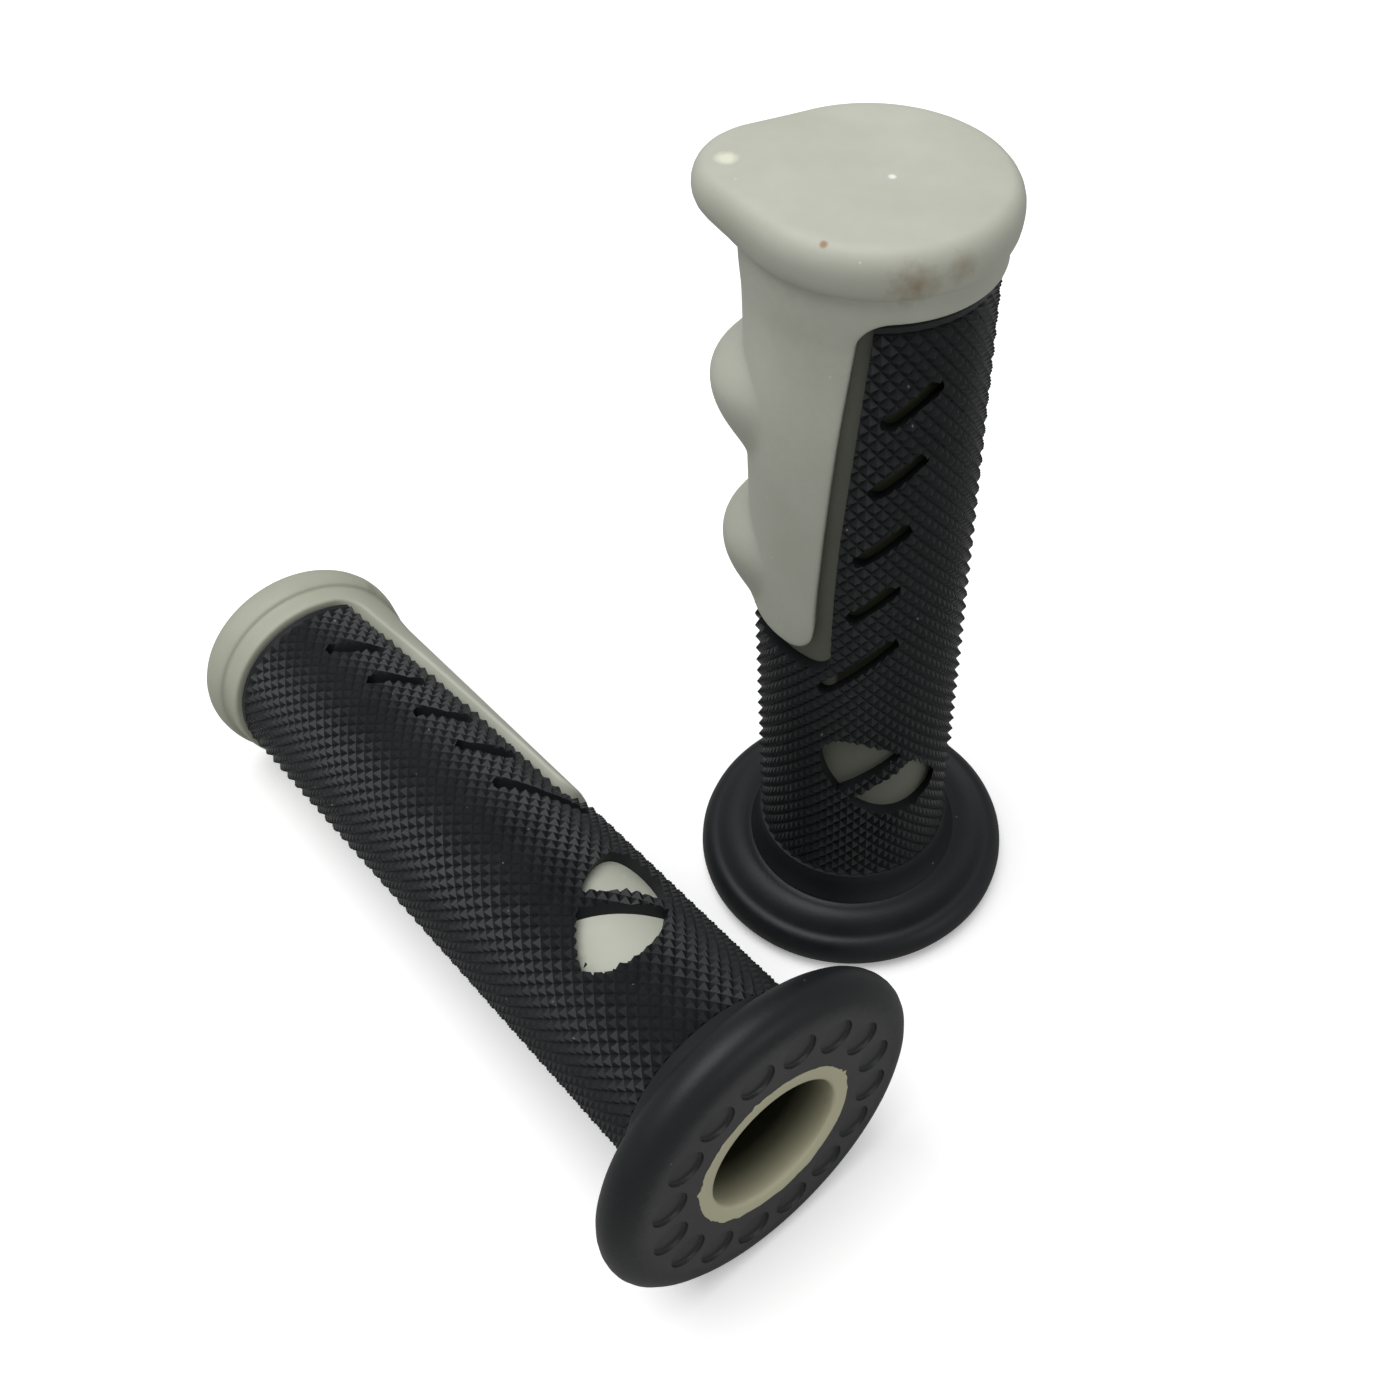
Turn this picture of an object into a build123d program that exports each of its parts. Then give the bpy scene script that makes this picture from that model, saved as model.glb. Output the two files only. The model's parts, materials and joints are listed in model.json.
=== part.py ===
"""A pair of slip-on handlebar grips with closed teardrop end caps, in millimetres.

Each grip is a pale core moulded first, with a dark flange and sleeve moulded round it. All are
laid out in a grip frame: Z runs along the bar from the flange face to the cap, and X points to
the finger side. The left grip is the right one mirrored in its XZ plane.
"""
from build123d import *
from math import acos, atan2, cos, hypot, pi, sin
import os

# bar and overall sizes
bar_diameter = 22.0
core_wall = 3.0
grip_length = 136.5
end_web = 7.0

# end cap
cap_overhang = 1.3
cap_tip_radius = 10.2
cap_tip_offset = 12.3
cap_thickness = 6.6
cap_edge_fillet = 2.9
neck_wall = 2.8
neck_length = 3.8

# finger panel, measured down from the neck
panel_wall = 2.5
panel_length = 59.0
panel_edge_low_x = 4.2
panel_edge_top_x = -1.9
panel_edge_bow = 1.1
panel_corner_radius = 4.0
panel_root_radius = 4.5

# finger lobes, the first one measured up from the foot of the panel
lobe_count = 2
lobe_first_rise = 8.8
lobe_pitch = 28.4
lobe_height = 18.0
lobe_width = 21.0
lobe_reach = 5.0
lobe_root_depth = 3.0

# sleeve
sleeve_wall = 2.0
sleeve_gap = 0.5
opening_gap = 2.3
opening_gap_low = 3.6
opening_edge_bow = 0.1
opening_corner_radius = 2.9

# flange
flange_radius = 27.0
flange_thickness = 6.6
flange_edge_fillet = 2.6
hub_step = 2.3
hub_rise = 0.9
hub_height = 5.8
dimple_count = 16
dimple_radius = 2.9
dimple_depth = 0.7
dimple_inset = 4.7

# slots in side view, as (x, height above the foot of the panel) of their two ends
slot_width = 2.2
slot_bow = 0.5
slot_ends = [
    ((2.5, -7.1), (-7.0, 2.9)),
    ((-1.4, 8.9), (-6.7, 13.9)),
    ((-2.3, 20.1), (-7.7, 24.9)),
    ((-3.9, 32.3), (-9.0, 36.7)),
    ((-5.1, 43.6), (-10.1, 47.9)),
]

# split window in side view, its centre as (x, height above the foot of the panel)
window_centre = (-5.6, -28.5)
window_length = 23.0
window_width = 12.5
window_land = 2.6
window_slant = 52.0

# resting places of the two grips
right_finger_azimuth = 170.9
left_flange_position = (-8.9, -71.1)
left_axis_azimuth = 134.2

# worked out from the sizes above
bore_radius = bar_diameter / 2
core_radius = bore_radius + core_wall
sleeve_radius = core_radius + sleeve_wall
panel_radius = core_radius + panel_wall
neck_radius = core_radius + neck_wall
cap_radius = neck_radius + cap_overhang
dimple_circle = core_radius + dimple_inset
bore_depth = grip_length - end_web
cap_bottom = grip_length - cap_thickness
neck_bottom = cap_bottom - neck_length
panel_bottom = neck_bottom - panel_length
sleeve_bottom = flange_thickness + hub_rise
sleeve_top = neck_bottom - sleeve_gap
side_reach = 2 * flange_radius


def panel_edge(gap, bow):
    """Points of the panel's rear edge in side view, moved back by a gap and bowed forward."""
    middle_z = (panel_bottom + neck_bottom) / 2
    middle_x = (panel_edge_low_x + panel_edge_top_x) / 2 + bow
    return [
        (panel_edge_low_x - gap, panel_bottom),
        (middle_x - gap, middle_z),
        (panel_edge_top_x - gap, neck_bottom),
    ]


def make_core():
    """Tube over the bar, finger panel with its lobes, neck and closed end cap, as one moulding."""
    with BuildPart() as panel:
        low, middle, top = panel_edge(0, panel_edge_bow)
        with BuildSketch(Plane.XZ) as panel_side:
            with BuildLine():
                edge = ThreePointArc(low, middle, top)
                Polyline(
                    edge @ 1,
                    (-side_reach, neck_bottom),
                    (-side_reach, cap_bottom),
                    (side_reach, cap_bottom),
                    (side_reach, panel_bottom),
                    edge @ 0,
                )
            make_face()
            corners = panel_side.vertices().sort_by_distance((panel_edge_low_x, panel_bottom, 0))
            fillet(corners[0], panel_corner_radius)
            roots = panel_side.vertices().sort_by_distance((panel_edge_top_x, neck_bottom, 0))
            fillet(roots[0], panel_root_radius)
        extrude(amount=side_reach, both=True)
        with Locations((0, 0, panel_bottom)):
            Cylinder(
                panel_radius,
                grip_length,
                align=(Align.CENTER, Align.CENTER, Align.MIN),
                mode=Mode.INTERSECT,
            )

    with BuildPart() as core:
        with BuildSketch():
            Circle(core_radius)
        extrude(amount=cap_bottom)
        add(panel.part)
        with BuildSketch(Plane.XY.offset(neck_bottom)):
            Circle(neck_radius)
        extrude(amount=neck_length)
        for index in range(lobe_count):
            add(make_lobe(panel_bottom + lobe_first_rise + index * lobe_pitch))
        add(make_cap())
        with BuildSketch():
            Circle(bore_radius)
        extrude(amount=bore_depth, mode=Mode.SUBTRACT)
    return core.part


def make_cap():
    """Teardrop end plate with rounded edges: a round plate drawn out to a tip."""
    with BuildPart() as cap:
        with BuildSketch(Plane.XY.offset(cap_bottom)):
            Circle(cap_radius)
            with Locations((cap_tip_offset, 0)):
                Circle(cap_tip_radius)
            make_hull()
        extrude(amount=cap_thickness)
        rims = cap.faces().filter_by(Axis.Z).edges()
        fillet(rims, cap_edge_fillet)
    return cap.part


def make_lobe(lobe_z):
    """Rounded ridge between two fingers, lofted outwards from inside the panel."""
    sections = [(0.0, 1.0), (0.4, 0.94), (0.72, 0.62), (0.92, 0.35), (1.0, 0.13)]
    root_x = panel_radius - lobe_root_depth
    tip_x = panel_radius + lobe_reach
    with BuildPart() as lobe:
        for rise, share in sections:
            with BuildSketch(Plane.YZ.offset(root_x + rise * (tip_x - root_x))):
                with Locations((0, lobe_z)):
                    Ellipse(share * lobe_width / 2, share * lobe_height / 2)
        loft()
    return lobe.part


def make_flange():
    """Disc at the mouth that stops the hand, with a ring of shallow dimples in its face."""
    with BuildPart() as flange:
        with BuildSketch(Plane.XZ) as half_section:
            with BuildLine():
                Polyline(
                    (core_radius, 0),
                    (flange_radius, 0),
                    (flange_radius, flange_thickness),
                    (sleeve_radius + hub_step, sleeve_bottom),
                    (core_radius, sleeve_bottom),
                    (core_radius, 0),
                )
            make_face()
            rims = half_section.vertices().group_by(Axis.X)[-1]
            fillet(rims, flange_edge_fillet)
        revolve(axis=Axis.Z)
        with BuildSketch():
            with PolarLocations(dimple_circle, dimple_count):
                Circle(dimple_radius)
        extrude(amount=dimple_depth, mode=Mode.SUBTRACT)
    return flange.part


def make_sleeve():
    """Sleeve from the flange to the neck, open at the finger panel, with slots and a window."""
    with BuildPart() as sleeve:
        with BuildSketch(Plane.XZ):
            with BuildLine():
                Polyline(
                    (core_radius, sleeve_bottom),
                    (sleeve_radius + hub_step, sleeve_bottom),
                    (sleeve_radius, sleeve_bottom + hub_height),
                    (sleeve_radius, sleeve_top),
                    (core_radius, sleeve_top),
                    (core_radius, sleeve_bottom),
                )
            make_face()
        revolve(axis=Axis.Z)

        low, middle, top = panel_edge(opening_gap, opening_edge_bow)
        with BuildSketch(Plane.XZ) as opening:
            with BuildLine():
                edge = ThreePointArc(low, middle, top)
                Polyline(
                    edge @ 1,
                    (top[0], cap_bottom),
                    (side_reach, cap_bottom),
                    (side_reach, panel_bottom - opening_gap_low),
                    (low[0], panel_bottom - opening_gap_low),
                    edge @ 0,
                )
            make_face()
            corner = opening.vertices().sort_by_distance((low[0], panel_bottom - opening_gap_low, 0))
            fillet(corner[0], opening_corner_radius)
        extrude(amount=side_reach, both=True, mode=Mode.SUBTRACT)

        with BuildSketch(Plane.XZ):
            for start, end in slot_ends:
                first = Vector(start[0], panel_bottom + start[1])
                last = Vector(end[0], panel_bottom + end[1])
                middle = (first + last) / 2 + Vector(slot_bow, -slot_bow)
                with BuildLine(mode=Mode.PRIVATE):
                    slot_arc = ThreePointArc(first, middle, last)
                SlotArc(slot_arc, slot_width)
        extrude(amount=-side_reach, mode=Mode.SUBTRACT)

        with BuildSketch(Plane.XZ):
            with Locations(Location((window_centre[0], panel_bottom + window_centre[1]), window_slant)):
                Ellipse(window_length / 2, window_width / 2)
                Rectangle(window_land, 2 * window_width, mode=Mode.SUBTRACT)
        extrude(amount=-side_reach, mode=Mode.SUBTRACT)
    return sleeve.part


def lying_tilt():
    """Angle by which the axis dips to the cap when the flange rim and the cap both touch down."""
    rim = (flange_radius - flange_edge_fillet, flange_thickness - flange_edge_fillet)
    cap = (cap_radius - cap_edge_fillet, grip_length - cap_edge_fillet)
    across = rim[0] - cap[0]
    along = rim[1] - cap[1]
    level = cap_edge_fillet - flange_edge_fillet
    return atan2(along, across) + acos(level / hypot(across, along))


def lying_plane():
    """Grip frame of the left grip, lying on its flange rim and on the flat flank of its cap."""
    tilt = lying_tilt()
    azimuth = left_axis_azimuth * pi / 180
    axis = Vector(cos(azimuth) * cos(tilt), sin(azimuth) * cos(tilt), -sin(tilt))
    level = Vector(-sin(azimuth), cos(azimuth), 0)
    upward = axis.cross(level)
    flank = acos((cap_radius - cap_tip_radius) / cap_tip_offset)
    finger = 1.5 * pi - flank
    finger_direction = level * cos(finger) + upward * sin(finger)
    height = (
        (flange_radius - flange_edge_fillet) * cos(tilt)
        + (flange_thickness - flange_edge_fillet) * sin(tilt)
        + flange_edge_fillet
    )
    return Plane(origin=(*left_flange_position, height), x_dir=finger_direction, z_dir=axis)


standing = Location((0, 0, 0), (0, 0, right_finger_azimuth))
lying = lying_plane().location

with BuildPart() as right_grip_core:
    with Locations(standing):
        add(make_core())

with BuildPart() as right_grip_flange:
    with Locations(standing):
        add(make_flange())

with BuildPart() as right_grip_sleeve:
    with Locations(standing):
        add(make_sleeve())

with BuildPart() as left_grip_core:
    with Locations(lying):
        add(mirror(make_core(), about=Plane.XZ, mode=Mode.PRIVATE))

with BuildPart() as left_grip_flange:
    with Locations(lying):
        add(mirror(make_flange(), about=Plane.XZ, mode=Mode.PRIVATE))

with BuildPart() as left_grip_sleeve:
    with Locations(lying):
        add(mirror(make_sleeve(), about=Plane.XZ, mode=Mode.PRIVATE))

right_grip_core.part.label = "right_grip_core"
right_grip_flange.part.label = "right_grip_flange"
right_grip_sleeve.part.label = "right_grip_sleeve"
left_grip_core.part.label = "left_grip_core"
left_grip_flange.part.label = "left_grip_flange"
left_grip_sleeve.part.label = "left_grip_sleeve"

os.makedirs("parts", exist_ok=True)
export_step(right_grip_core.part, "parts/right_grip_core.step")
export_step(right_grip_flange.part, "parts/right_grip_flange.step")
export_step(right_grip_sleeve.part, "parts/right_grip_sleeve.step")
export_step(left_grip_core.part, "parts/left_grip_core.step")
export_step(left_grip_flange.part, "parts/left_grip_flange.step")
export_step(left_grip_sleeve.part, "parts/left_grip_sleeve.step")
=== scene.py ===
import json
import math
import random

import bmesh
import bpy
from mathutils import Matrix, Vector
from mathutils.geometry import delaunay_2d_cdt


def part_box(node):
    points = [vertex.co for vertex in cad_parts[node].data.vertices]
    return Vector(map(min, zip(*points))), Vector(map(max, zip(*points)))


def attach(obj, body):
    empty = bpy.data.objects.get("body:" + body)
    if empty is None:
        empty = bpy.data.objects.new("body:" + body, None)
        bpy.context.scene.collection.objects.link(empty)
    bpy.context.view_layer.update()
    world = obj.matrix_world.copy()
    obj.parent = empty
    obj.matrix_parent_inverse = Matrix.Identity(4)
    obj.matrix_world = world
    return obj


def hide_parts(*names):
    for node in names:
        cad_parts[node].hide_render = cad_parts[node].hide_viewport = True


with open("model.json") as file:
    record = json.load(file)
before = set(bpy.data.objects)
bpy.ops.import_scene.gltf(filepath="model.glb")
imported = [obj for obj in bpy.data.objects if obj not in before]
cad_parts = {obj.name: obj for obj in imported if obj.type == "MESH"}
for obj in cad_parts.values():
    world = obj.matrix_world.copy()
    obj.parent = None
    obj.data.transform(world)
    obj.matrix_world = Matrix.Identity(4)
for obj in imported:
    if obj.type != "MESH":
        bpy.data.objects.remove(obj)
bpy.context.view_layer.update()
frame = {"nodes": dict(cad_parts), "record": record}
print("frame loaded", sorted(frame["nodes"]))

# finger directions of the two grips in the row frame
poses = {
    "right": {"finger": (-0.987414, 0.158158, 0.0), "mirrored": False},
    "left": {"finger": (0.580168, 0.502814, -0.640768), "mirrored": True},
}


def gripMatrix(side):
    # grip millimetres to row metres, with Y reversed for the left grip
    bore = next(m for m in frame["record"]["mounts"] if m["name"] == side + "_bore")
    along = -Vector(bore["axis"])
    finger = Vector(poses[side]["finger"])
    finger = (finger - along * finger.dot(along)).normalized()
    across = along.cross(finger) * (-1 if poses[side]["mirrored"] else 1)
    turn = Matrix((finger, across, along)).transposed().to_4x4()
    return Matrix.Translation(Vector(bore["pos_m"])) @ turn @ Matrix.Scale(0.001, 4)


def smoothStep(low, high, value):
    t = min(1.0, max(0.0, (value - low) / (high - low)))
    return t * t * (3 - 2 * t)


def newMesh(name, verts, faces, weld=0.0):
    mesh = bpy.data.meshes.new(name)
    mesh.from_pydata([tuple(v) for v in verts], [], faces)
    work = bmesh.new()
    work.from_mesh(mesh)
    if weld:
        bmesh.ops.remove_doubles(work, verts=work.verts, dist=weld)
    loose = [v for v in work.verts if not v.link_faces]
    bmesh.ops.delete(work, geom=loose, context="VERTS")
    bmesh.ops.recalc_face_normals(work, faces=work.faces)
    work.to_mesh(mesh)
    work.free()
    return mesh


def linkObject(name, mesh):
    made = bpy.data.objects.new(name, mesh)
    bpy.context.scene.collection.objects.link(made)
    return made


def placeCopy(name, mesh, side, nodes, material):
    # a copy of a grip mesh in its resting place
    made = mesh.copy()
    made.name = name
    made.transform(gripMatrix(side))
    if poses[side]["mirrored"]:
        made.flip_normals()
    made.materials.clear()
    made.materials.append(material)
    obj = linkObject(name, made)
    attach(obj, "root")
    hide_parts(*nodes)
    return obj


def ringFaces(start, nextStart, count):
    return [
        (start + k, start + (k + 1) % count, nextStart + (k + 1) % count, nextStart + k)
        for k in range(count)
    ]


def revolve(profile, columns):
    # closed ring swept from (radius, z) points
    verts = []
    for radius, z in profile:
        for k in range(columns):
            angle = 2 * math.pi * k / columns
            verts.append((radius * math.cos(angle), radius * math.sin(angle), z))
    faces = []
    for row in range(len(profile)):
        faces += ringFaces(row * columns, ((row + 1) % len(profile)) * columns, columns)
    return verts, faces


def arcPoints(centre, radius, start, end, count):
    return [
        (
            centre[0] + radius * math.cos(math.radians(start + (end - start) * k / count)),
            centre[1] + radius * math.sin(math.radians(start + (end - start) * k / count)),
        )
        for k in range(count + 1)
    ]


def splineAt(knots, value):
    # smooth curve through (input, output) knots
    if value <= knots[0][0]:
        return knots[0][1]
    if value >= knots[-1][0]:
        return knots[-1][1]
    at = max(k for k in range(len(knots) - 1) if knots[k][0] <= value)
    x0, y0 = knots[at]
    x1, y1 = knots[at + 1]
    slope = (y1 - y0) / (x1 - x0)
    before = slope if at == 0 else (y1 - knots[at - 1][1]) / (x1 - knots[at - 1][0])
    after = slope if at + 2 == len(knots) else (knots[at + 2][1] - y0) / (knots[at + 2][0] - x0)
    t = (value - x0) / (x1 - x0)
    h = x1 - x0
    return (
        (2 * t**3 - 3 * t**2 + 1) * y0
        + (t**3 - 2 * t**2 + t) * h * before
        + (3 * t**2 - 2 * t**3) * y1
        + (t**3 - t**2) * h * after
    )


# panel and its opening, in millimetres of the grip frame
panel = {
    "foot": 67.1,
    "neck": 126.1,
    "radius": 16.5,
    "neckRadius": 16.8,
    "edge": [
        (67.1, 4.5),
        (76.0, 4.2),
        (86.0, 3.4),
        (97.0, 2.4),
        (108.0, 1.2),
        (118.0, -0.15),
        (126.1, -1.3),
    ],
    "cornerRadius": 4.0,
    "rootRadius": 4.5,
    "rounding": 0.6,
    "buriedRadius": 13.0,
}
opening = {
    "edge": [
        (63.5, 1.6),
        (71.0, 1.5),
        (80.0, 1.2),
        (88.0, 0.7),
        (95.0, 0.1),
        (104.0, -0.8),
        (113.0, -1.7),
        (122.0, -2.6),
        (127.0, -3.1),
    ],
    "foot": 63.4,
    "cornerRadius": 3.2,
}
lobes = [
    {"peak": 104.9, "above": 8.2, "below": 11.6, "height": 4.95, "halfAngle": 43.0},
    {"peak": 76.7, "above": 8.6, "below": 10.9, "height": 4.3, "halfAngle": 43.0},
]


def panelOutline():
    # (x, z) points from the middle of the foot to the back of the neck
    x = splineAt(panel["edge"], panel["foot"])
    r = panel["cornerRadius"]
    points = []
    corner = (x + r, panel["foot"] + r)
    steps = 16
    for k in range(steps):
        angle = math.acos(corner[0] / panel["radius"]) * k / steps
        points.append((panel["radius"] * math.cos(angle), panel["foot"]))
    points += arcPoints(corner, r, 270, 180, 12)
    rootZ = panel["neck"] - panel["rootRadius"]
    z = panel["foot"] + r + 0.9
    while z < rootZ - 0.5:
        points.append((splineAt(panel["edge"], z), z))
        z += 0.9
    rootX = splineAt(panel["edge"], rootZ) - panel["rootRadius"]
    points += arcPoints((rootX, rootZ), panel["rootRadius"], 0, 90, 12)
    startAngle = math.acos(rootX / panel["radius"])
    steps = 28
    for k in range(1, steps + 1):
        angle = startAngle + (math.pi - startAngle) * k / steps
        points.append((panel["radius"] * math.cos(angle), panel["neck"]))
    return points


def unroll(point):
    return (panel["radius"] * math.acos(max(-1.0, min(1.0, point[0] / panel["radius"]))), point[1])


def offsetCurve(curve, distance):
    # moves each point of an open curve towards its left, keeping the end points on their lines
    moved = []
    for k, (u, z) in enumerate(curve):
        before = curve[max(0, k - 1)]
        after = curve[min(len(curve) - 1, k + 1)]
        du, dz = after[0] - before[0], after[1] - before[1]
        size = math.hypot(du, dz) or 1.0
        moved.append((u - dz / size * distance, z + du / size * distance))
    moved[0] = (0.0, moved[0][1])
    moved[-1] = (curve[-1][0], moved[-1][1])
    return moved


def lobeHeight(angle, z):
    height = 0.0
    for lobe in lobes:
        reach = lobe["above"] if z > lobe["peak"] else lobe["below"]
        rise = (z - lobe["peak"]) / reach
        turn = math.degrees(angle) / lobe["halfAngle"]
        share = math.hypot(rise, turn)
        if share < 1:
            height = max(height, lobe["height"] * (1 - share**2.2) ** 1.6)
    return height


def skinRadius(u, z, inset):
    # outer radius of panel and neck at an unrolled place
    base = panel["radius"] + (panel["neckRadius"] - panel["radius"]) * smoothStep(120, 126.5, z)
    rounding = panel["rounding"]
    if inset < rounding:
        drop = rounding - math.sqrt(max(0.0, rounding**2 - (rounding - inset) ** 2))
        base -= drop
    return base + lobeHeight(u / panel["radius"], z)


def boreSide(x, y, radius):
    # the point below (x, y) at a smaller radius, straight across in side view where that is possible
    turned = smoothStep(9.0, 12.5, abs(x))
    here = math.hypot(x, y)
    radial = (x * radius / here, y * radius / here)
    if abs(x) < radius:
        across = (x, math.copysign(math.sqrt(radius**2 - x**2), y))
    else:
        across = radial
    px = across[0] * (1 - turned) + radial[0] * turned
    py = across[1] * (1 - turned) + radial[1] * turned
    size = math.hypot(px, py)
    return (px * radius / size, py * radius / size)


def capReach(angle, cap):
    # distance from the axis to the teardrop outline
    flank = math.acos((cap["radius"] - cap["tipRadius"]) / cap["tipOffset"])
    turn = abs(math.remainder(angle, 2 * math.pi))
    tipX = cap["tipOffset"] + cap["tipRadius"] * math.cos(flank)
    tipY = cap["tipRadius"] * math.sin(flank)
    if turn >= flank:
        return cap["radius"]
    if turn >= math.atan2(tipY, tipX):
        return cap["radius"] / math.cos(turn - flank)
    side = cap["tipOffset"] * math.sin(turn)
    return cap["tipOffset"] * math.cos(turn) + math.sqrt(cap["tipRadius"] ** 2 - side**2)


cap = {
    "radius": 18.1,
    "tipRadius": 10.2,
    "tipOffset": 12.3,
    "under": 130.0,
    "top": 136.5,
    "lowerRounding": 3.0,
    "upperInset": 2.4,
    "columns": 192,
    "joinZ": 127.6,
}


def panelShell():
    # panel with lobes, neck and end cap as one closed skin
    columns = cap["columns"]
    half = panel["radius"] * math.pi
    outline = [unroll(point) for point in panelOutline()]
    insets = [0.0, 0.05, 0.16, 0.34, 0.6]
    loops = []
    for inset in insets:
        right = offsetCurve(outline, inset)
        left = [(-u, z) for u, z in reversed(right[1:])]
        loops.append(left + right)
    rim = [(-half + 2 * half * k / columns, cap["joinZ"]) for k in range(columns + 1)]

    points = []
    edges = []
    insetOf = {}
    for loop, inset in zip(loops, insets):
        start = len(points)
        points += loop
        edges += [(start + k, start + k + 1) for k in range(len(loop) - 1)]
        for k in range(len(loop)):
            insetOf[start + k] = inset
    rimStart = len(points)
    points += rim
    edges += [(rimStart + k, rimStart + k + 1) for k in range(columns)]
    edges.append((0, rimStart))
    edges.append((len(loops[0]) - 1, rimStart + columns))

    inner = offsetCurve(outline, 1.05)

    def inside(u, z):
        # true for places clear of the rounded edge
        u = abs(u)
        if z > panel["neck"] + 1.0:
            return True
        crossings = 0
        for (u0, z0), (u1, z1) in zip(inner, inner[1:]):
            if (z0 > z) != (z1 > z) and u < u0 + (u1 - u0) * (z - z0) / (z1 - z0):
                crossings += 1
        return crossings % 2 == 1

    step = 0.95
    z = panel["foot"] + 1.0
    row = 0
    while z < cap["joinZ"] - 0.35:
        u = -half + 0.5 * step * (row % 2)
        while u < half:
            if inside(u, z) and abs(u) < half - 0.5:
                points.append((u, z))
            u += step
        z += step * 0.87
        row += 1

    result = delaunay_2d_cdt([Vector(point) for point in points], edges, [], 0, 1e-5)
    flat, triangles, origins = result[0], result[2], result[3]

    verts = []
    for place, source in zip(flat, origins):
        known = [insetOf[s] for s in source if s in insetOf]
        radius = skinRadius(place.x, place.y, min(known) if known else 9.0)
        angle = place.x / panel["radius"]
        verts.append((radius * math.cos(angle), radius * math.sin(angle), place.y))

    def raised(u, z):
        u = abs(u)
        crossings = 0
        path = outline + [(half, cap["joinZ"] + 1)]
        for (u0, z0), (u1, z1) in zip(path, path[1:]):
            if (z0 > z) != (z1 > z) and u < u0 + (u1 - u0) * (z - z0) / (z1 - z0):
                crossings += 1
        return crossings % 2 == 1 or z > panel["neck"]

    faces = []
    for triangle in triangles:
        cu = sum(flat[k].x for k in triangle) / 3
        cz = sum(flat[k].y for k in triangle) / 3
        if raised(cu, cz):
            faces.append(tuple(triangle))

    # the side wall, down to a place buried in the tube
    used = {}
    for face in faces:
        for a, b in zip(face, face[1:] + face[:1]):
            used[(a, b)] = True
    border = [
        (a, b)
        for (a, b) in used
        if (b, a) not in used
        and not (flat[a].y > cap["joinZ"] - 1e-3 and flat[b].y > cap["joinZ"] - 1e-3)
        and not (abs(abs(flat[a].x) - half) < 1e-3 and abs(abs(flat[b].x) - half) < 1e-3)
    ]
    lower = {}
    for a, b in border:
        for k in (a, b):
            if k not in lower:
                ids = []
                for radius in (13.9, panel["buriedRadius"]):
                    x, y = boreSide(verts[k][0], verts[k][1], radius)
                    ids.append(len(verts))
                    verts.append((x, y, verts[k][2]))
                lower[k] = ids
    for a, b in border:
        faces.append((b, a, lower[a][0], lower[b][0]))
        faces.append((lower[b][0], lower[a][0], lower[a][1], lower[b][1]))

    # inner side, buried in the tube
    inward = {}
    for face in list(faces[: len(faces) - 2 * len(border)]):
        ids = []
        for k in face:
            if k in lower:
                ids.append(lower[k][1])
                continue
            if k not in inward:
                angle = flat[k].x / panel["radius"]
                inward[k] = len(verts)
                r = panel["buriedRadius"]
                verts.append((r * math.cos(angle), r * math.sin(angle), flat[k].y))
            ids.append(inward[k])
        faces.append(tuple(reversed(ids)))

    # cap: rows of the same columns, from the neck round the rim to the middle of the top
    angles = [-math.pi + 2 * math.pi * k / columns for k in range(columns)]
    neck = panel["neckRadius"]
    topRows = [0.93, 0.85, 0.72, 0.55, 0.36, 0.18]
    table = []
    for angle in angles:
        reach = capReach(angle, cap)
        overhang = reach - neck
        low = min(cap["lowerRounding"], overhang * 0.92)
        hollow = min(1.3, 0.35 + 0.25 * overhang)
        path = [(neck, cap["joinZ"])]
        for turn in (0, 30, 60, 90):
            a = math.radians(turn)
            path.append((neck + hollow * 0.6 * (1 - math.cos(a)), cap["under"] - hollow * (1 - math.sin(a))))
        start = max(neck + hollow * 0.6 + 0.05, reach - low)
        high = cap["lowerRounding"] + 0.2
        for turn in (12, 28, 45, 62, 78, 90):
            a = math.radians(turn)
            path.append((start + (reach - start) * math.sin(a), cap["under"] + high * (1 - math.cos(a))))
        for turn in (14, 28, 42, 56, 70, 82):
            a = math.radians(turn)
            path.append(
                (
                    reach - cap["upperInset"] * (1 - math.cos(a)),
                    cap["under"] + high + (cap["top"] - 0.12 - cap["under"] - high) * math.sin(a),
                )
            )
        edge = path[-1]
        for share in topRows:
            rise = edge[1] + (cap["top"] - edge[1]) * (1 - share**2.5)
            path.append((edge[0] * share, rise))
        table.append([(r * math.cos(angle), r * math.sin(angle), z) for r, z in path])
    rowCount = len(table[0])
    first = len(verts)
    for row in range(rowCount):
        for k in range(columns):
            verts.append(table[k][row])
    for row in range(rowCount - 1):
        faces += ringFaces(first + row * columns, first + (row + 1) * columns, columns)
    last = first + (rowCount - 1) * columns
    middle = len(verts)
    verts.append((0.0, 0.0, cap["top"]))
    faces += [(last + k, last + (k + 1) % columns, middle) for k in range(columns)]

    # buried roof that closes the skin inside
    roof = len(verts)
    for angle in angles:
        verts.append(
            (panel["buriedRadius"] * math.cos(angle), panel["buriedRadius"] * math.sin(angle), cap["joinZ"])
        )
    roofMiddle = len(verts)
    verts.append((0.0, 0.0, cap["joinZ"] + 3.0))
    faces += [(roof + (k + 1) % columns, roof + k, roofMiddle) for k in range(columns)]
    return newMesh("panelShell", verts, faces, weld=0.002)


tube = {
    "bore": 11.0,
    "outer": 14.0,
    "lip": 13.3,
    "depth": 129.5,
    "columns": 128,
    "flash": 0.6,
    "groovePitch": 2.3,
    "boreRows": (90.0, 60.0, 40.0, 30.0, 26.0, 22.0, 19.0, 16.0, 13.0, 10.0, 7.5, 5.0, 3.0, 1.5, 0.5),
}


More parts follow.
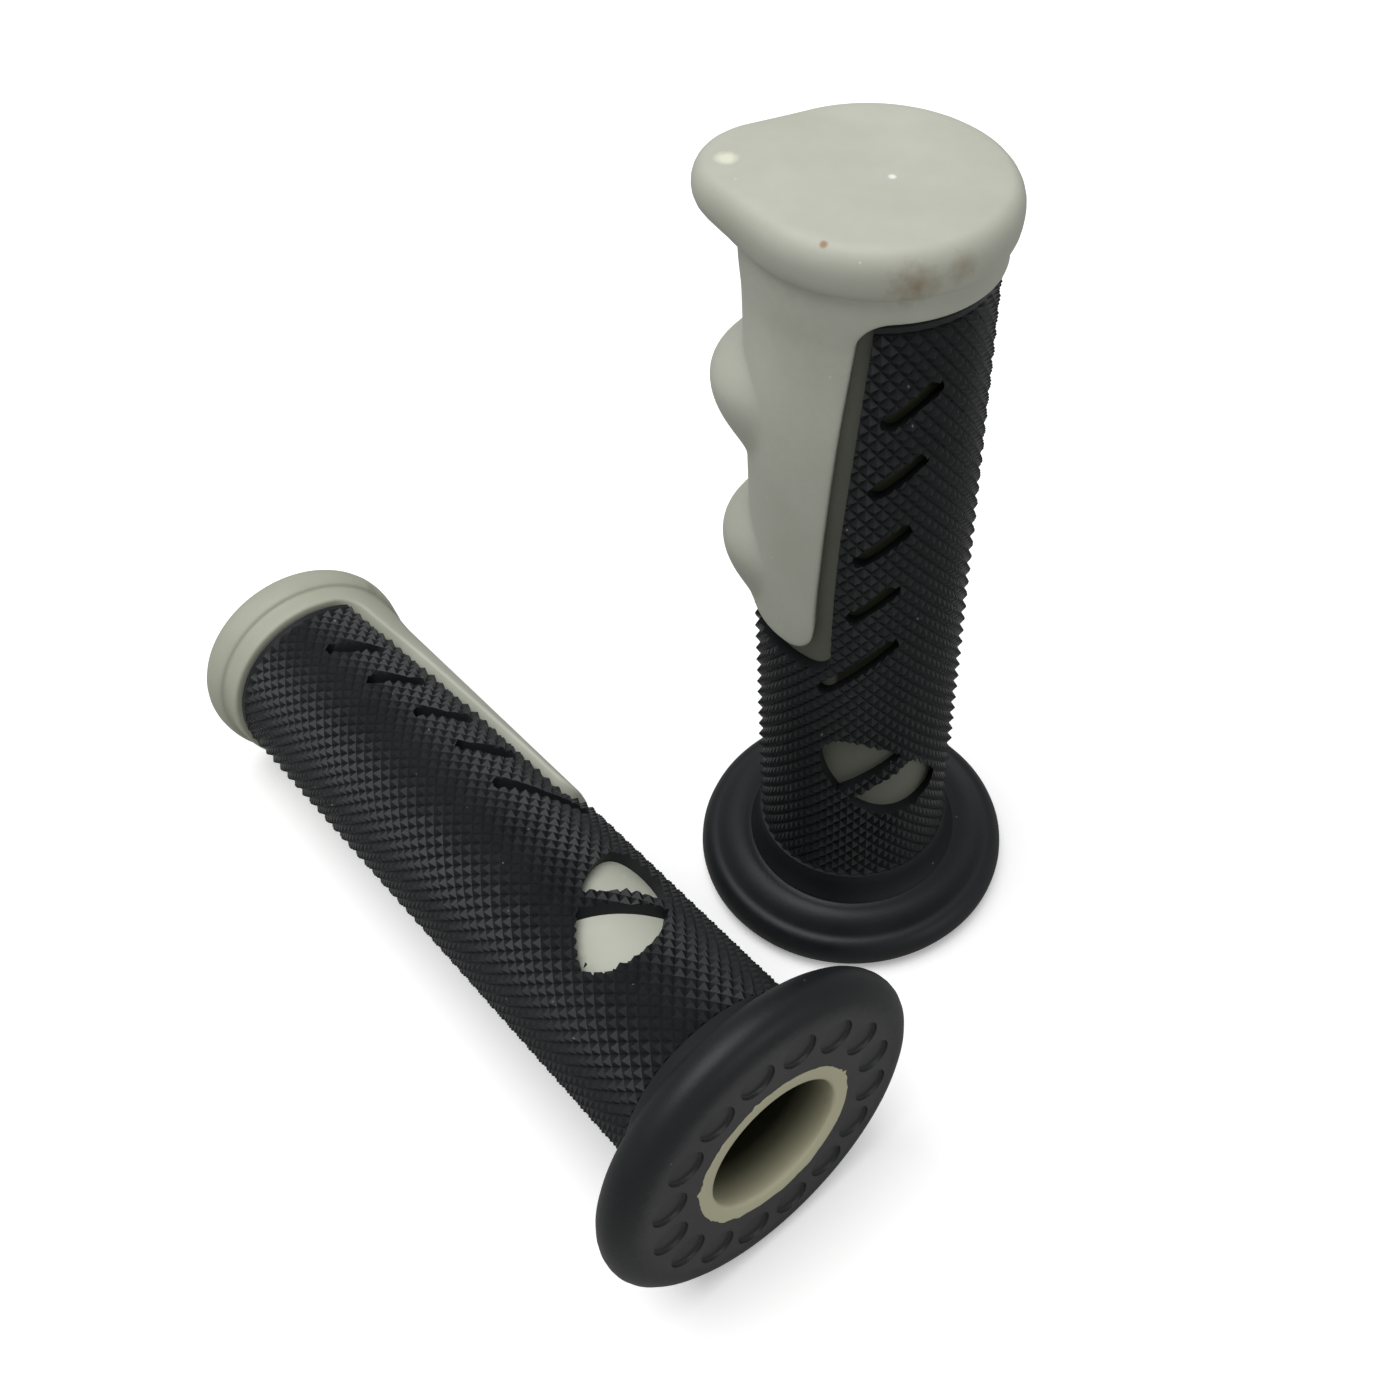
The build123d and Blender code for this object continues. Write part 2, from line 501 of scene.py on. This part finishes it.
def tubeShell():
    # closed cup over the bar, with a ragged skin of flash round its mouth
    rng = random.Random(7)
    columns = tube["columns"]
    profile = [
        (tube["lip"], 0.02),
        (tube["lip"], 0.5),
        (tube["outer"], 0.75),
        (tube["outer"], 7.0),
        (tube["outer"], 51.0),
    ]
    profile += [(tube["outer"], 55.0 + tube["groovePitch"] * k) for k in range(33)]
    verts = []
    for r, z in profile:
        for k in range(columns):
            a = 2 * math.pi * k / columns
            verts.append((r * math.cos(a), r * math.sin(a), z))
    inner = [(tube["bore"], tube["depth"])] + [(tube["bore"], z) for z in tube["boreRows"]]
    inner += [(tube["bore"] + 0.15, 0.1), (tube["bore"] + 0.5, -0.03)]
    innerStart = len(verts)
    for r, z in inner:
        for k in range(columns):
            a = 2 * math.pi * k / columns
            verts.append((r * math.cos(a), r * math.sin(a), z))
    faces = []
    for row in range(len(profile) - 1):
        faces += ringFaces(row * columns, (row + 1) * columns, columns)
    for row in range(len(inner) - 1):
        faces += ringFaces(innerStart + row * columns, innerStart + (row + 1) * columns, columns)
    # mouth face with the ragged edge, a hair proud of the flange
    wander = [rng.uniform(-1, 1) for _ in range(columns)]
    ragged = len(verts)
    for z in (-0.05, 0.02):
        for k in range(columns):
            a = 2 * math.pi * k / columns
            near = (wander[k] + wander[k - 1] + wander[k - 2]) / 3
            spike = 0.5 if wander[k] > 0.93 else 0.0
            r = tube["lip"] + 0.1 + tube["flash"] * max(0.0, 0.35 + near + 0.3 * wander[k]) * 0.5
            r += spike * tube["flash"]
            verts.append((r * math.cos(a), r * math.sin(a), z))
    lastInner = innerStart + (len(inner) - 1) * columns
    faces += ringFaces(lastInner, ragged, columns)
    faces += ringFaces(ragged, ragged + columns, columns)
    faces += ringFaces(ragged + columns, 0, columns)
    # closed ends
    endMiddle = len(verts)
    verts.append((0.0, 0.0, tube["depth"]))
    faces += [(innerStart + k, innerStart + (k + 1) % columns, endMiddle) for k in range(columns)]
    outerLast = (len(profile) - 1) * columns
    roofMiddle = len(verts)
    verts.append((0.0, 0.0, 131.5))
    faces += [(outerLast + k, outerLast + (k + 1) % columns, roofMiddle) for k in range(columns)]
    return newMesh("tubeShell", verts, faces)


def joinMeshes(name, meshes):
    work = bmesh.new()
    for mesh in meshes:
        work.from_mesh(mesh)
    joined = bpy.data.meshes.new(name)
    work.to_mesh(joined)
    work.free()
    return joined


# shares of the painted shade colour in the recesses of the pale rubber, and where they lie in z
recess = {
    "groove": 0.66,
    "slots": 0.97,
    "grooveSpan": (54.0, 129.0),
    "bore": 1.0,
    "boreMouth": 0.5,
    "boreDepth": 8.0,
    "boreCurve": 0.6,
    "boreSpan": (0.3, 129.6),
}


def shadeRecesses(mesh):
    # stores the painted shade of the bore, the groove beside the panel and the slots for the material
    paintedShade = mesh.attributes.new("paintedShade", "FLOAT", "POINT")
    for vertex, value in zip(mesh.vertices, paintedShade.data):
        x, y, z = vertex.co
        r = math.hypot(x, y)
        share = 0.0
        if r < tube["bore"] + 0.3 and recess["boreSpan"][0] < z < recess["boreSpan"][1]:
            depth = smoothStep(recess["boreMouth"], recess["boreDepth"], z)
            share = recess["bore"] * depth ** recess["boreCurve"]
        elif abs(r - tube["outer"]) < 0.05 and recess["grooveSpan"][0] < z < recess["grooveSpan"][1]:
            behind = x < splineAt(opening["edge"], z) - 0.5
            share = recess["slots"] if behind else recess["groove"]
        value.value = share


coreMesh = joinMeshes("coreMesh", [panelShell(), tubeShell()])
shadeRecesses(coreMesh)
for polygon in coreMesh.polygons:
    polygon.use_smooth = True
coreMesh.set_sharp_from_angle(angle=math.radians(50))
print("core skin", len(coreMesh.polygons))

knurl = {
    "columns": 90,
    "step": 1.318,
    "bottom": 13.4,
    "rows": 84,
    "valleyRadius": 15.5,
    "peakRadius": 16.28,
    "wear": 0.08,
    "innerRadius": 13.9,
    "top": 125.6,
}


def sleeveBlank():
    # ring of diamond pyramids between two families of crossing grooves
    rng = random.Random(11)
    total = knurl["columns"]
    depth = knurl["peakRadius"] - knurl["valleyRadius"]
    rows = knurl["rows"] + 1
    verts = []
    for j in range(rows):
        for k in range(total):
            raised = (k + j) % 2 == 1
            r = knurl["valleyRadius"]
            a = 2 * math.pi * k / total
            z = knurl["bottom"] + j * knurl["step"]
            if raised:
                r += depth - knurl["wear"] * rng.random()
                a += rng.uniform(-0.004, 0.004)
                if 0 < j < rows - 1:
                    z += rng.uniform(-0.07, 0.07)
            verts.append((r * math.cos(a), r * math.sin(a), z))
    flatFaces = []
    for j in range(rows - 1):
        for k in range(total):
            n = (k + 1) % total
            a, b = j * total + k, j * total + n
            c, d = (j + 1) * total + n, (j + 1) * total + k
            # the diagonal follows the groove between the two low corners
            if (k + j) % 2 == 0:
                flatFaces += [(a, b, c), (a, c, d)]
            else:
                flatFaces += [(a, b, d), (b, c, d)]
    topZ = knurl["bottom"] + knurl["rows"] * knurl["step"]
    rings = [
        (15.75, topZ + 0.25),
        (15.9, topZ + 0.45),
        (15.95, knurl["top"] - 0.25),
        (15.7, knurl["top"]),
        (knurl["innerRadius"], knurl["top"]),
        (knurl["innerRadius"], 7.2),
        (18.0, 7.2),
        (18.15, 7.75),
        (17.7, 8.5),
        (17.2, 9.6),
        (16.75, 11.2),
        (16.45, 12.7),
        (16.3, 13.05),
        (15.75, 13.15),
    ]
    start = len(verts)
    for r, z in rings:
        for k in range(total):
            a = 2 * math.pi * k / total
            verts.append((r * math.cos(a), r * math.sin(a), z))
    smoothFaces = ringFaces((rows - 1) * total, start, total)
    for row in range(len(rings) - 1):
        smoothFaces += ringFaces(start + row * total, start + (row + 1) * total, total)
    smoothFaces += ringFaces(start + (len(rings) - 1) * total, 0, total)
    mesh = newMesh("sleeveBlank", verts, flatFaces + smoothFaces)
    for polygon in mesh.polygons:
        polygon.use_smooth = polygon.index >= len(flatFaces)
    return mesh


def prism(outline, low, high):
    # closed prism of an (x, z) outline, from one y to another
    count = len(outline)
    verts = [(x, low, z) for x, z in outline] + [(x, high, z) for x, z in outline]
    faces = [tuple(range(count)), tuple(range(2 * count - 1, count - 1, -1))]
    faces += [(k, (k + 1) % count, count + (k + 1) % count, count + k) for k in range(count)]
    return newMesh("prism", verts, faces)


slots = {
    "width": 2.3,
    "bow": 0.5,
    "ends": [
        ((2.5, 60.0), (-7.0, 70.0)),
        ((-1.4, 76.0), (-6.7, 81.0)),
        ((-2.3, 87.2), (-7.7, 92.0)),
        ((-3.9, 99.4), (-9.0, 103.8)),
        ((-5.1, 110.7), (-10.1, 115.0)),
    ],
}
window = {"centre": (-5.6, 38.6), "length": 23.0, "width": 12.5, "land": 2.6, "slant": 52.0}


def slotOutline(start, end):
    # a bowed slot with round ends
    steps = 10
    middle = ((start[0] + end[0]) / 2 + slots["bow"], (start[1] + end[1]) / 2 - slots["bow"])
    path = []
    for k in range(steps + 1):
        t = k / steps
        control = (2 * middle[0] - (start[0] + end[0]) / 2, 2 * middle[1] - (start[1] + end[1]) / 2)
        path.append(
            (
                (1 - t) ** 2 * start[0] + 2 * t * (1 - t) * control[0] + t**2 * end[0],
                (1 - t) ** 2 * start[1] + 2 * t * (1 - t) * control[1] + t**2 * end[1],
            )
        )
    r = slots["width"] / 2
    one, other = [], []
    for k, (x, z) in enumerate(path):
        before, after = path[max(0, k - 1)], path[min(steps, k + 1)]
        dx, dz = after[0] - before[0], after[1] - before[1]
        size = math.hypot(dx, dz)
        one.append((x - dz / size * r, z + dx / size * r))
        other.append((x + dz / size * r, z - dx / size * r))
    dx, dz = path[-1][0] - path[-2][0], path[-1][1] - path[-2][1]
    turn = math.degrees(math.atan2(dz, dx))
    endCap = arcPoints(path[-1], r, turn + 90, turn - 90, 6)[1:-1]
    dx, dz = path[1][0] - path[0][0], path[1][1] - path[0][1]
    turn = math.degrees(math.atan2(dz, dx))
    startCap = arcPoints(path[0], r, turn - 90, turn - 270, 6)[1:-1]
    return one + endCap + other[::-1] + startCap


def windowOutlines():
    # the two halves of an oval split by a land across its middle
    slant = math.radians(window["slant"])
    a, b = window["length"] / 2, window["width"] / 2
    cut = window["land"] / 2
    edge = math.acos(cut / a)
    halves = []
    for sign in (1, -1):
        local = []
        for k in range(25):
            t = -edge + 2 * edge * k / 24
            local.append((sign * a * math.cos(t), b * math.sin(t)))
        halves.append(
            [
                (
                    window["centre"][0] + x * math.cos(slant) - z * math.sin(slant),
                    window["centre"][1] + x * math.sin(slant) + z * math.cos(slant),
                )
                for x, z in local
            ]
        )
    return halves


def openingOutline():
    r = opening["cornerRadius"]
    points = []
    z = 128.0
    while z > opening["foot"] + r + 0.5:
        points.append((splineAt(opening["edge"], z), z))
        z -= 1.0
    x = splineAt(opening["edge"], opening["foot"] + r)
    points += arcPoints((x + r, opening["foot"] + r), r, 180, 270, 10)
    points += [(30.0, opening["foot"]), (30.0, 128.0)]
    return points


def cutMesh(blank, cutters):
    # blank with each cutter taken away
    base = linkObject("blank", blank)
    for outline, low, high in cutters:
        tool = linkObject("tool", prism(outline, low, high))
        cut = base.modifiers.new("cut", "BOOLEAN")
        cut.operation = "DIFFERENCE"
        cut.solver = "EXACT"
        cut.object = tool
        graph = bpy.context.evaluated_depsgraph_get()
        done = bpy.data.meshes.new_from_object(base.evaluated_get(graph))
        base.modifiers.clear()
        base.data = done
        bpy.data.objects.remove(tool)
    done = base.data
    bpy.data.objects.remove(base)
    done.set_sharp_from_angle(angle=math.radians(32))
    return done


cutters = [(openingOutline(), -40.0, 40.0)]
cutters += [(slotOutline(start, end), 0.0, 40.0) for start, end in slots["ends"]]
cutters += [(outline, 0.0, 40.0) for outline in windowOutlines()]
sleeveMesh = cutMesh(sleeveBlank(), cutters)
print("sleeve", len(sleeveMesh.polygons))

flange = {
    "radius": 27.0,
    "face": 23.3,
    "dimples": 16,
    "dimpleCircle": 18.7,
    "dimpleRadius": 2.9,
    "dimpleDepth": 0.55,
    "columns": 192,
}


def flangeBlank():
    # (radius, z) points from the mouth over the face, round the rim and down the back
    r, lip = flange["radius"], tube["lip"] + 0.02
    profile = [(lip, 0.0), (16.0, 0.0), (20.0, 0.0), (22.6, 0.0), (flange["face"], 0.03)]
    profile += [(r - 3.0, 0.16), (r - 2.1, 0.5), (r - 1.2, 1.05), (r - 0.5, 1.75), (r - 0.1, 2.6)]
    profile += [(r, 3.4), (r - 0.08, 4.3), (r - 0.4, 5.2), (r - 0.9, 6.0), (r - 1.6, 6.62)]
    profile += [(r - 2.4, 6.9), (r - 3.1, 6.85), (r - 4.0, 6.62), (21.8, 6.45), (20.6, 6.5)]
    profile += [(19.6, 6.75), (18.9, 7.15), (18.5, 7.5), (18.0, 7.62)]
    profile += [(14.02, 7.5), (14.02, 0.76), (lip, 0.51)]
    verts, faces = revolve(profile, flange["columns"])
    return newMesh("flangeBlank", verts, faces)


def dimpleTool():
    # one disc with a crisp lower edge
    r, depth = flange["dimpleRadius"], flange["dimpleDepth"]
    rows = [(r - 0.24, depth), (r - 0.1, depth - 0.1), (r - 0.03, depth - 0.3), (r, 0.0), (r, -1.0)]
    columns = 40
    verts, faces = [], []
    for radius, z in rows:
        for k in range(columns):
            a = 2 * math.pi * k / columns
            verts.append((radius * math.cos(a), radius * math.sin(a), z))
    last = len(rows) - 1
    for row in range(last):
        faces += ringFaces(row * columns, (row + 1) * columns, columns)
    faces.append(tuple(range(columns)))
    faces.append(tuple(range(last * columns, (last + 1) * columns)))
    return verts, faces


def cutDimples(blank):
    base = linkObject("blank", blank)
    shape, faces = dimpleTool()
    verts, discs = [], []
    for k in range(flange["dimples"]):
        a = 2 * math.pi * k / flange["dimples"]
        cx, cy = flange["dimpleCircle"] * math.cos(a), flange["dimpleCircle"] * math.sin(a)
        start = len(verts)
        verts += [(x + cx, y + cy, z) for x, y, z in shape]
        discs += [tuple(start + v for v in face) for face in faces]
    tool = linkObject("tool", newMesh("dimples", verts, discs))
    cut = base.modifiers.new("cut", "BOOLEAN")
    cut.operation = "DIFFERENCE"
    cut.solver = "EXACT"
    cut.object = tool
    graph = bpy.context.evaluated_depsgraph_get()
    done = bpy.data.meshes.new_from_object(base.evaluated_get(graph))
    bpy.data.objects.remove(base)
    bpy.data.objects.remove(tool)
    for polygon in done.polygons:
        polygon.use_smooth = True
    done.set_sharp_from_angle(angle=math.radians(32))
    return done


flangeMesh = cutDimples(flangeBlank())
print("flange", len(flangeMesh.polygons))


def shaderNode(tree, kind, **values):
    made = tree.nodes.new(kind)
    for name, value in values.items():
        if name in made.inputs:
            made.inputs[name].default_value = value
        else:
            setattr(made, name, value)
    return made


def addSpots(tree, coordinates, colour, spots):
    # blends each soft-edged mark over a colour
    link = tree.links.new
    ragged = shaderNode(tree, "ShaderNodeTexNoise", Scale=900.0, Detail=3.0)
    link(coordinates, ragged.inputs["Vector"])
    for spot in spots:
        distance = shaderNode(tree, "ShaderNodeVectorMath", operation="DISTANCE")
        link(coordinates, distance.inputs[0])
        distance.inputs[1].default_value = spot["at"]
        wobble = shaderNode(tree, "ShaderNodeMath", operation="MULTIPLY_ADD")
        link(ragged.outputs["Fac"], wobble.inputs[0])
        wobble.inputs[1].default_value = spot["radius"] * spot.get("ragged", 0.5)
        link(distance.outputs["Value"], wobble.inputs[2])
        reach = shaderNode(tree, "ShaderNodeMapRange")
        link(wobble.outputs[0], reach.inputs["Value"])
        reach.inputs["From Min"].default_value = spot["radius"] * spot.get("core", 0.7)
        reach.inputs["From Max"].default_value = spot["radius"] * 1.3
        reach.inputs["To Min"].default_value = spot.get("strength", 1.0)
        reach.inputs["To Max"].default_value = 0.0
        mix = shaderNode(tree, "ShaderNodeMix", data_type="RGBA")
        link(reach.outputs["Result"], mix.inputs[0])
        link(colour, mix.inputs[6])
        mix.inputs[7].default_value = (*spot["colour"], 1.0)
        colour = mix.outputs[2]
    return colour


def rubber(name, look, spots=()):
    material = bpy.data.materials.new(name)
    material.use_nodes = True
    tree = material.node_tree
    link = tree.links.new
    shader = tree.nodes["Principled BSDF"]
    coordinates = tree.nodes.new("ShaderNodeTexCoord").outputs["Object"]

    mottle = shaderNode(tree, "ShaderNodeTexNoise", Scale=look["mottleScale"], Detail=4.0, Roughness=0.6)
    link(coordinates, mottle.inputs["Vector"])
    ramp = shaderNode(tree, "ShaderNodeValToRGB")
    ramp.color_ramp.elements[0].position = 0.32
    ramp.color_ramp.elements[0].color = (*look["low"], 1.0)
    ramp.color_ramp.elements[1].position = 0.68
    ramp.color_ramp.elements[1].color = (*look["high"], 1.0)
    link(mottle.outputs["Fac"], ramp.inputs["Fac"])
    colour = ramp.outputs["Color"]

    dust = shaderNode(tree, "ShaderNodeTexVoronoi", Scale=look["dustScale"], Randomness=1.0)
    link(coordinates, dust.inputs["Vector"])
    dustShare = shaderNode(tree, "ShaderNodeMapRange")
    link(dust.outputs["Distance"], dustShare.inputs["Value"])
    dustShare.inputs["From Min"].default_value = look["dustSize"] * 0.6
    dustShare.inputs["From Max"].default_value = look["dustSize"]
    dustShare.inputs["To Min"].default_value = look["dustStrength"]
    dustShare.inputs["To Max"].default_value = 0.0
    dustMix = shaderNode(tree, "ShaderNodeMix", data_type="RGBA")
    link(dustShare.outputs["Result"], dustMix.inputs[0])
    link(colour, dustMix.inputs[6])
    dustMix.inputs[7].default_value = (*look["dust"], 1.0)
    # painted shade in the bore, groove and slots, read from the per-vertex attribute
    paintedShade = shaderNode(tree, "ShaderNodeAttribute", attribute_name="paintedShade")
    paintedShadeMix = shaderNode(tree, "ShaderNodeMix", data_type="RGBA")
    link(paintedShade.outputs["Fac"], paintedShadeMix.inputs[0])
    link(addSpots(tree, coordinates, dustMix.outputs[2], spots), paintedShadeMix.inputs[6])
    paintedShadeMix.inputs[7].default_value = (*look["paintedShade"], 1.0)
    link(paintedShadeMix.outputs[2], shader.inputs["Base Color"])

    sheen = shaderNode(tree, "ShaderNodeMapRange")
    link(mottle.outputs["Fac"], sheen.inputs["Value"])
    sheen.inputs["From Min"].default_value = 0.3
    sheen.inputs["From Max"].default_value = 0.7
    sheen.inputs["To Min"].default_value = look["roughness"][0]
    sheen.inputs["To Max"].default_value = look["roughness"][1]
    link(sheen.outputs["Result"], shader.inputs["Roughness"])

    grain = shaderNode(tree, "ShaderNodeTexNoise", Scale=look["grainScale"], Detail=2.0)
    link(coordinates, grain.inputs["Vector"])
    bump = shaderNode(tree, "ShaderNodeBump", Strength=look["grain"], Distance=0.0001)
    link(grain.outputs["Fac"], bump.inputs["Height"])
    link(bump.outputs["Normal"], shader.inputs["Normal"])
    shader.inputs["Specular IOR Level"].default_value = look["specular"]
    return material


paleLook = {
    "low": (0.425, 0.435, 0.365),
    "high": (0.475, 0.485, 0.420),
    "mottleScale": 70.0,
    "roughness": (0.44, 0.54),
    "grainScale": 2500.0,
    "grain": 0.12,
    "dust": (0.72, 0.72, 0.68),
    "dustScale": 260.0,
    "dustSize": 0.05,
    "dustStrength": 0.5,
    # colour of the painted shade in the recesses
    "paintedShade": (0.020, 0.0195, 0.009),
    "specular": 0.3,
}
darkLook = {
    "low": (0.0060, 0.0072, 0.0085),
    "high": (0.0095, 0.0112, 0.0125),
    "mottleScale": 60.0,
    "roughness": (0.40, 0.52),
    "grainScale": 1800.0,
    "grain": 0.25,
    "dust": (0.22, 0.22, 0.21),
    "dustScale": 220.0,
    "dustSize": 0.045,
    "dustStrength": 0.7,
    "paintedShade": (0.01, 0.01, 0.01),
    "specular": 0.32,
}


def mark(side, place, radius, colour, strength, **shape):
    # one soft-edged mark at a place in grip millimetres
    at = tuple(gripMatrix(side) @ Vector(place))
    return {"at": at, "radius": radius, "colour": colour, "strength": strength, **shape}


rightMarks = [
    # painted light: lighter patch high on the panel
    mark("right", (12.0, 11.5, 113.0), 0.0170, (0.64, 0.65, 0.56), 0.6, ragged=0.5, core=0.1),
    # stain under the rim of the cap
    mark("right", (-7.5, 16.4, 132.0), 0.0044, (0.24, 0.17, 0.085), 0.75, ragged=0.9, core=0.3),
    mark("right", (-12.3, 13.0, 133.4), 0.0027, (0.24, 0.18, 0.09), 0.6, ragged=0.9, core=0.3),
    # brown dot, chip and speck on top of the cap
    mark("right", (3.1, 16.3, 136.1), 0.0006, (0.30, 0.16, 0.07), 0.85),
    mark("right", (17.9, 1.6, 136.5), 0.0016, (0.70, 0.71, 0.58), 0.9),
    mark("right", (-2.0, 1.0, 136.5), 0.0006, (0.80, 0.80, 0.76), 0.9),
    # painted shade: dim floor of the window
    mark("right", (-5.6, 12.8, 38.6), 0.0130, (0.075, 0.077, 0.058), 0.8, ragged=0.1, core=0.95),
]
leftMarks = [
    # painted shade: darker olive over the cap; painted light: lighter yellow tone on the mouth ring
    mark("left", (0.0, 0.0, 134.0), 0.0240, (0.29, 0.30, 0.215), 0.6, ragged=0.1, core=0.6),
    mark("left", (0.0, 0.0, 3.0), 0.0170, (0.52, 0.50, 0.33), 0.85, ragged=0.1, core=0.9),
    # stain on the rim of the cap
    mark("left", (5.0, 17.0, 131.0), 0.0020, (0.20, 0.18, 0.11), 0.4, ragged=0.8),
]
paintedFaceLight = [
    # painted light: the left flange's face made evenly lighter
    mark("left", (0.0, 0.0, 0.0), 0.0195, (0.036, 0.037, 0.037), 0.85, ragged=0.1, core=1.15),
]
coreRubber = {
    "right": rubber("paleRubberRight", paleLook, rightMarks),
    "left": rubber("paleRubberLeft", paleLook, leftMarks),
}
darkRubber = rubber("darkRubber", darkLook)
flangeRubber = {
    "right": darkRubber,
    "left": rubber("darkRubberFaceLight", darkLook, paintedFaceLight),
}

for side in ("right", "left"):
    grip = side + "_grip_"
    placeCopy(side + "Core", coreMesh, side, [grip + "core"], coreRubber[side])
    placeCopy(side + "Sleeve", sleeveMesh, side, [grip + "sleeve"], darkRubber)
    placeCopy(side + "Flange", flangeMesh, side, [grip + "flange"], flangeRubber[side])
print("grips placed")

studio = {
    "floorColour": (0.98, 0.98, 0.98),
    "floorGlow": 0.25,
    "bounceColour": (0.42, 0.42, 0.41),
    "ambient": 0.38,
    "lamps": [
        {"at": (-0.25, -0.05, 1.1), "size": 1.1, "watts": 10.5},
        {"at": (1.1, -0.7, 0.45), "size": 0.5, "watts": 1.8},
    ],
}


def makeStudio():
    floorMesh = newMesh("floor", [(-3, -3, 0), (3, -3, 0), (3, 3, 0), (-3, 3, 0)], [(0, 1, 2, 3)])
    floor = linkObject("floor", floorMesh)
    floor.location.z = min(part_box(node)[0].z for node in frame["nodes"])
    material = bpy.data.materials.new("paleFloor")
    material.use_nodes = True
    tree = material.node_tree
    shader = tree.nodes["Principled BSDF"]
    shader.inputs["Roughness"].default_value = 0.9
    shader.inputs["Specular IOR Level"].default_value = 0.1
    path = tree.nodes.new("ShaderNodeLightPath")
    tint = shaderNode(tree, "ShaderNodeMix", data_type="RGBA")
    tree.links.new(path.outputs["Is Camera Ray"], tint.inputs[0])
    tint.inputs[6].default_value = (*studio["bounceColour"], 1.0)
    tint.inputs[7].default_value = (*studio["floorColour"], 1.0)
    tree.links.new(tint.outputs[2], shader.inputs["Base Color"])
    glow = shaderNode(tree, "ShaderNodeMath", operation="MULTIPLY")
    tree.links.new(path.outputs["Is Camera Ray"], glow.inputs[0])
    glow.inputs[1].default_value = studio["floorGlow"]
    shader.inputs["Emission Color"].default_value = (1.0, 1.0, 1.0, 1.0)
    tree.links.new(glow.outputs[0], shader.inputs["Emission Strength"])
    floorMesh.materials.append(material)

    world = bpy.data.worlds.new("studio")
    world.use_nodes = True
    bpy.context.scene.world = world
    background = world.node_tree.nodes["Background"]
    background.inputs["Color"].default_value = (1.0, 1.0, 1.0, 1.0)
    background.inputs["Strength"].default_value = studio["ambient"]

    for k, lamp in enumerate(studio["lamps"]):
        light = bpy.data.lights.new("lamp", "AREA")
        light.shape = "DISK"
        light.size = lamp["size"]
        light.energy = lamp["watts"]
        obj = bpy.data.objects.new("lamp", light)
        bpy.context.scene.collection.objects.link(obj)
        obj.location = lamp["at"]
        aim = Vector((-0.03, -0.02, 0.05)) - Vector(lamp["at"])
        obj.rotation_euler = aim.to_track_quat("-Z", "Y").to_euler()


makeStudio()

view = {
    "at": (0.0, -0.16547, 0.2323),
    "right": (0.99896, 0.01181, 0.04409),
    "up": (-0.03836, 0.74061, 0.67084),
    "forward": (0.02474, 0.67183, -0.74029),
    "lens": 40.07,
    "shiftX": -0.1485,
    "shiftY": -0.0212,
}


def makeCamera():
    data = bpy.data.cameras.new("camera")
    data.sensor_fit = "HORIZONTAL"
    data.sensor_width = 36.0
    data.lens = view["lens"]
    data.shift_x = view["shiftX"]
    data.shift_y = view["shiftY"]
    data.clip_start = 0.01
    camera = bpy.data.objects.new("camera", data)
    bpy.context.scene.collection.objects.link(camera)
    axes = (Vector(view["right"]), Vector(view["up"]), -Vector(view["forward"]))
    camera.matrix_world = Matrix.Translation(Vector(view["at"])) @ Matrix(axes).transposed().to_4x4()
    bpy.context.scene.camera = camera


makeCamera()
bpy.context.scene.view_settings.view_transform = "Standard"
print("studio and camera set")
